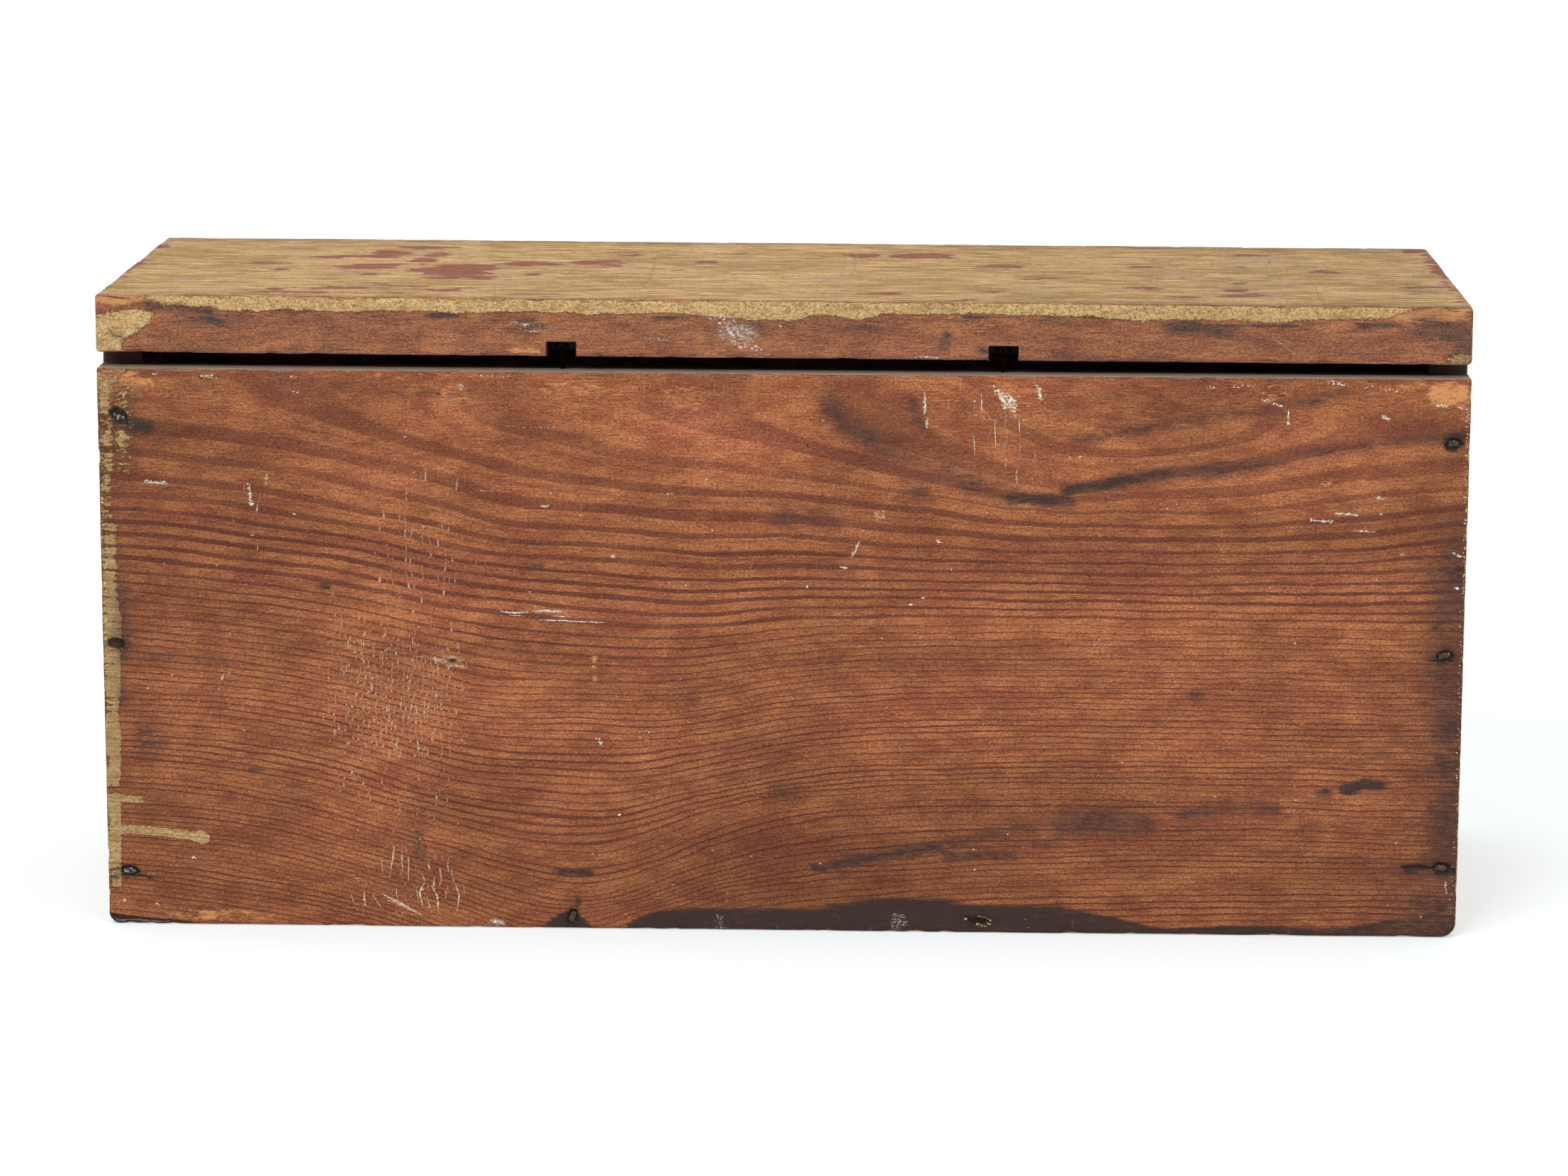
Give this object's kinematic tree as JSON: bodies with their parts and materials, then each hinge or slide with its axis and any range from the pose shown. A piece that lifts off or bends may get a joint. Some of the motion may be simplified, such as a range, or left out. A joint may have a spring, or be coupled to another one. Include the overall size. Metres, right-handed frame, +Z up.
{
  "type": "miniature chest",
  "caption": "Small six-board chest with a flat hinged lid, nailed butt joints and wire-pin hinges in notches at the back.",
  "frame": {"origin": "middle of the footprint, on the surface that the chest stands on", "axes": "+X along the length, to the right when facing the back; +Y from the back towards the front; +Z up"},
  "size_m": [0.4, 0.138, 0.189],
  "materials": {
    "bare_pine": "old reddish-brown pine, bare, waxed by handling, with raised grain, stains and scratches",
    "painted_pine": "pine under worn ochre paint, with red-brown primer and bare wood showing through at the edges",
    "nail_iron": "dark rusty cut-nail heads",
    "hinge_iron": "dark rusty drawn wire"
  },
  "bodies": {
    "case": {"back_board": "bare_pine", "front_board": "painted_pine", "left_end_board": "painted_pine", "right_end_board": "painted_pine", "bottom_board": "bare_pine", "back_nail_left_1": "nail_iron", "back_nail_left_2": "nail_iron", "back_nail_left_3": "nail_iron", "back_nail_right_1": "nail_iron", "back_nail_right_2": "nail_iron", "back_nail_right_3": "nail_iron", "back_nail_lower_1": "nail_iron", "back_nail_lower_2": "nail_iron", "front_nail_left_1": "nail_iron", "front_nail_left_2": "nail_iron", "front_nail_left_3": "nail_iron", "front_nail_right_1": "nail_iron", "front_nail_right_2": "nail_iron", "front_nail_right_3": "nail_iron", "front_nail_lower_1": "nail_iron", "front_nail_lower_2": "nail_iron", "left_nail_lower_1": "nail_iron", "left_nail_lower_2": "nail_iron", "right_nail_lower_1": "nail_iron", "right_nail_lower_2": "nail_iron", "left_body_hinge_pin": "hinge_iron", "right_body_hinge_pin": "hinge_iron"},
    "lid": {"lid_board": "painted_pine", "left_lid_hinge_pin": "hinge_iron", "right_lid_hinge_pin": "hinge_iron"}
  },
  "joints": [
    {"name": "lid_hinge", "type": "hinge", "parent": "case", "child": "lid", "pos_m": [0, -0.0653, 0.172], "axis": [1, 0, 0], "range_deg": [0, 95]}
  ]
}
